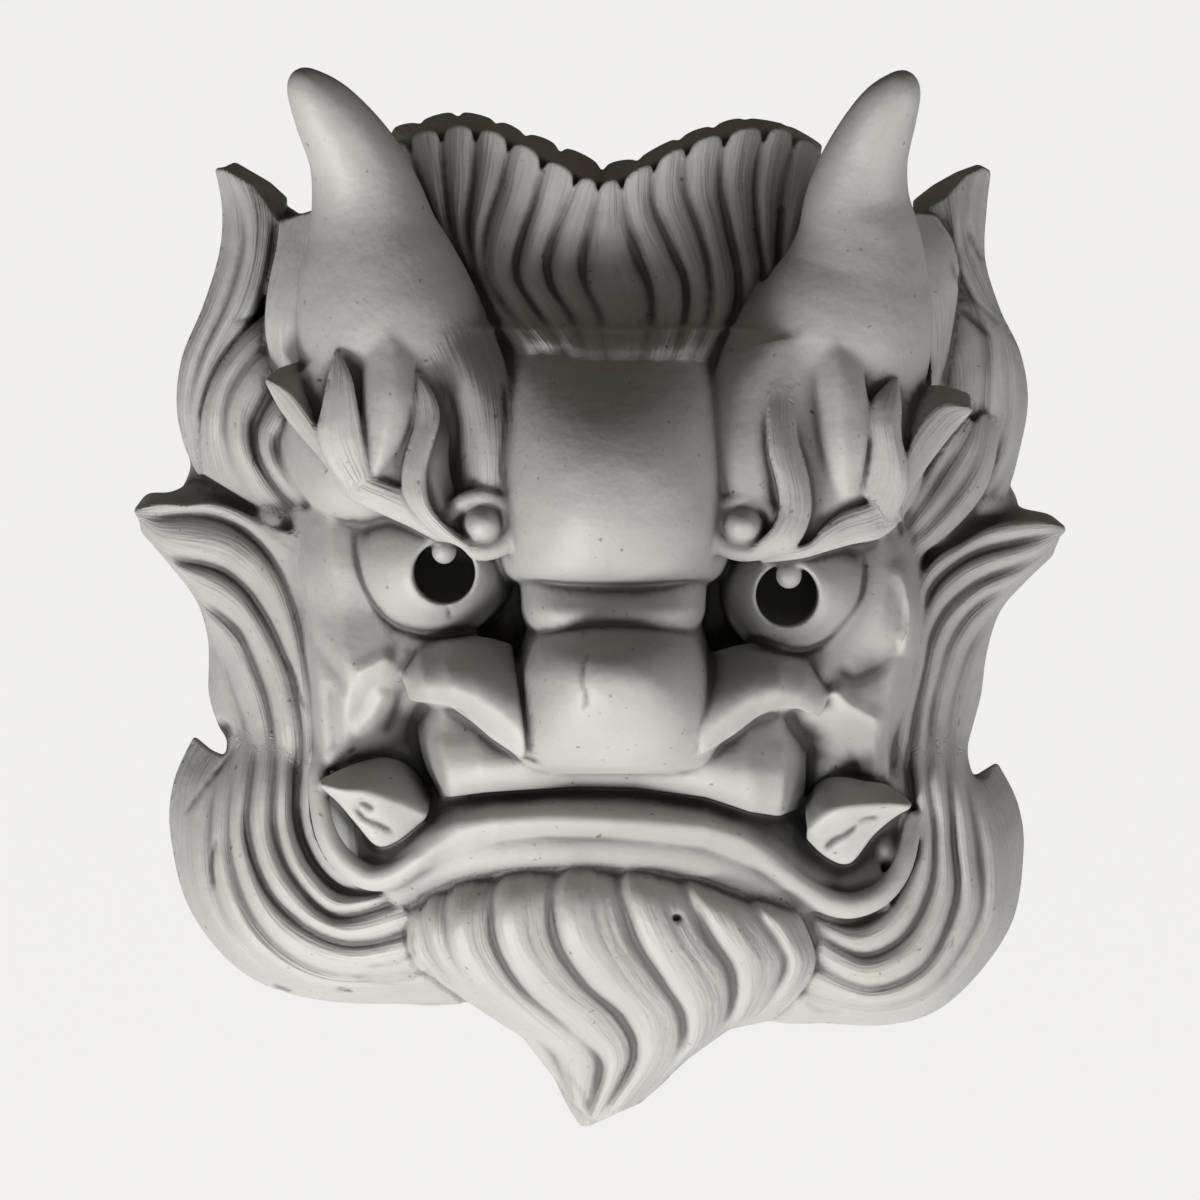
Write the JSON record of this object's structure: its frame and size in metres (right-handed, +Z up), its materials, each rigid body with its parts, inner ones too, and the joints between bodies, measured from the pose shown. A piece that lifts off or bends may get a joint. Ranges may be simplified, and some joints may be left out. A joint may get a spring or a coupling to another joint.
{
  "type": "onigawara roof tile",
  "caption": "Demon-faced ridge-end roof tile of smoked clay, with horns, fangs, flame-like mane and combed beard; hollow behind, with a tie bar to fix it by",
  "frame": {"origin": "on the flat back, at the middle of the rear face of the tie bar that the tile is held by", "axes": "+Z up the face, +X to the right of someone who looks at the face, +Y out of the flat back and into the wall; the face looks along -Y"},
  "size_m": [0.3147, 0.1509, 0.3754],
  "materials": {
    "smoked_clay": "unglazed, smoke-fired silver-grey, satin with darker recesses"
  },
  "bodies": {
    "root": {"onigawara_tile": "smoked_clay"}
  },
  "joints": []
}
